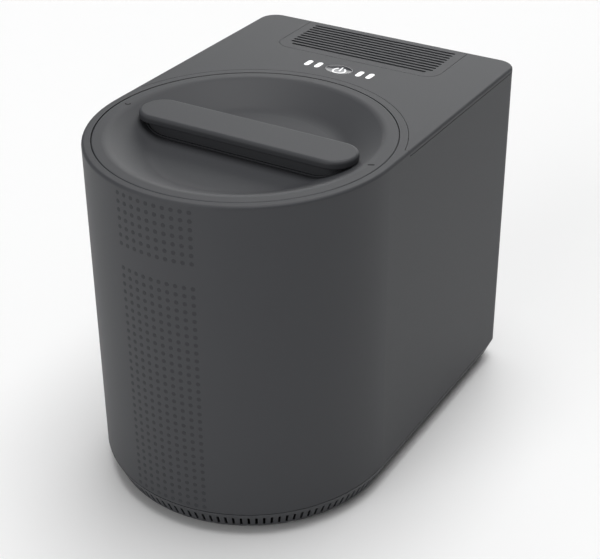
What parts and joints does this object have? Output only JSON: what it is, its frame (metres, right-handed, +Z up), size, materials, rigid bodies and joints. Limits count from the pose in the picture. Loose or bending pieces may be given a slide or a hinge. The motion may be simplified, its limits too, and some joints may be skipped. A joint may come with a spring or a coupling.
{
  "type": "electric food waste composter",
  "caption": "Countertop electric food waste composter: round-nosed casing, twist lid with bar handle over a lift-out bucket, slotted filter cover and lit power button.",
  "frame": {"origin": "on the floor under the middle of the casing's width and depth", "axes": "+X across the width to the right, +Y to the rear, +Z up"},
  "size_m": [0.27, 0.388, 0.3204],
  "materials": {
    "casing_abs": "fine moulded texture",
    "inner_plastic": "plain moulded",
    "inlet_plastic": "moulded",
    "foot_rubber": "moulded",
    "seal_silicone": "moulded",
    "lamp_acrylic": "lit from below",
    "coated_aluminium": "cast, non-stick coated",
    "cast_aluminium": "cast",
    "stainless_steel": "brushed",
    "screw_steel": "zinc plated",
    "nickel_plate": "nickel plated",
    "bronze": "sintered",
    "gear_steel": "hobbed",
    "case_aluminium": "die cast",
    "motor_paint": "painted",
    "glass_fibre": "felted",
    "filter_frame": "moulded",
    "board_laminate": "solder mask"
  },
  "bodies": {
    "root": {"outer_shell": "casing_abs", "rear_cover": "casing_abs", "base_tray": "casing_abs", "feet": "foot_rubber", "base_screws": "screw_steel", "lid_collar": "inner_plastic", "well": "stainless_steel", "insulation_wrap": "glass_fibre", "chassis_plate": "stainless_steel", "chassis_screws": "screw_steel", "shaft_seal": "foot_rubber", "heater_plate": "cast_aluminium", "thermostat": "screw_steel", "gearcase_lower": "case_aluminium", "gearcase_upper": "case_aluminium", "gearcase_screws": "screw_steel", "gearcase_bearings": "bronze", "motor": "motor_paint", "filter_bay": "inner_plastic", "steam_duct": "inner_plastic", "blower_housing": "inner_plastic", "blower_motor": "motor_paint", "control_board": "board_laminate", "tact_switch": "inner_plastic", "lamp_guides": "lamp_acrylic", "board_screws": "screw_steel", "power_inlet": "inlet_plastic", "inlet_pins": "nickel_plate", "inlet_screws": "screw_steel", "lid_switch": "inner_plastic"},
    "bucket": {"bucket": "coated_aluminium", "bucket_bush": "bronze", "wall_teeth": "stainless_steel"},
    "agitator": {"agitator": "cast_aluminium", "agitator_spindle": "stainless_steel"},
    "bail": {"bail": "stainless_steel", "bail_grip": "inner_plastic"},
    "lid_core": {"seal_carrier": "inner_plastic", "lid_seal": "seal_silicone"},
    "lid_shell": {"lid_dish": "casing_abs", "handle_bar": "casing_abs", "handle_screws": "screw_steel", "swivel_ring": "inner_plastic"},
    "drive": {"output_wheel": "gear_steel", "output_shaft": "stainless_steel", "drive_coupling": "stainless_steel"},
    "idler": {"idler_wheel": "gear_steel", "idler_pinion": "gear_steel", "idler_shaft": "stainless_steel"},
    "motor_rotor": {"motor_shaft": "stainless_steel", "motor_pinion": "gear_steel"},
    "blower_rotor": {"impeller": "inner_plastic"},
    "power_button": {"power_button": "casing_abs"},
    "filters": {"filter_left": "filter_frame", "filter_right": "filter_frame"},
    "filter_cover": {"filter_cover": "casing_abs"}
  },
  "joints": [
    {"name": "bucket_lift", "type": "slide", "parent": "root", "child": "bucket", "axis": [0, 0, 1], "range_m": [0, 0.27]},
    {"name": "agitator_spin", "type": "hinge", "parent": "bucket", "child": "agitator", "pos_m": [0, -0.059, 0.08], "axis": [0, 0, 1], "continuous": true},
    {"name": "bail_swing", "type": "hinge", "parent": "bucket", "child": "bail", "pos_m": [0, -0.059, 0.259], "axis": [-1, 0, 0], "range_deg": [0, 90]},
    {"name": "lid_lift", "type": "slide", "parent": "bucket", "child": "lid_core", "axis": [0, 0, 1], "range_m": [0, 0.25]},
    {"name": "lid_turn", "type": "hinge", "parent": "lid_core", "child": "lid_shell", "pos_m": [0, -0.059, 0.3], "axis": [0, 0, 1], "range_deg": [-30, 0]},
    {"name": "drive_spin", "type": "hinge", "parent": "root", "child": "drive", "pos_m": [0, -0.059, 0.03], "axis": [0, 0, 1], "continuous": true},
    {"name": "idler_spin", "type": "hinge", "parent": "root", "child": "idler", "pos_m": [0, 0.03325, 0.03], "axis": [0, 0, 1], "continuous": true},
    {"name": "motor_spin", "type": "hinge", "parent": "root", "child": "motor_rotor", "pos_m": [0, 0.09275, 0.05], "axis": [0, 0, 1], "continuous": true},
    {"name": "blower_spin", "type": "hinge", "parent": "root", "child": "blower_rotor", "pos_m": [0, 0.108, 0.165], "axis": [0, 0, 1], "continuous": true},
    {"name": "button_press", "type": "slide", "parent": "root", "child": "power_button", "axis": [0, 0, -1], "range_m": [0, 0.0008], "stiffness_N_per_m": 1000},
    {"name": "filters_lift", "type": "slide", "parent": "root", "child": "filters", "axis": [0, 0, 1], "range_m": [0, 0.1]},
    {"name": "filter_cover_lift", "type": "slide", "parent": "filters", "child": "filter_cover", "axis": [0, 0, 1], "range_m": [0, 0.1]}
  ],
  "couplings": [
    {"joint": "idler_spin", "follows": "drive_spin", "ratio": -3.8235},
    {"joint": "motor_spin", "follows": "drive_spin", "ratio": 11.471},
    {"joint": "agitator_spin", "follows": "drive_spin", "ratio": 1},
    {"joint": "bail_swing", "follows": "lid_lift", "rad_per_m": 6.28}
  ]
}
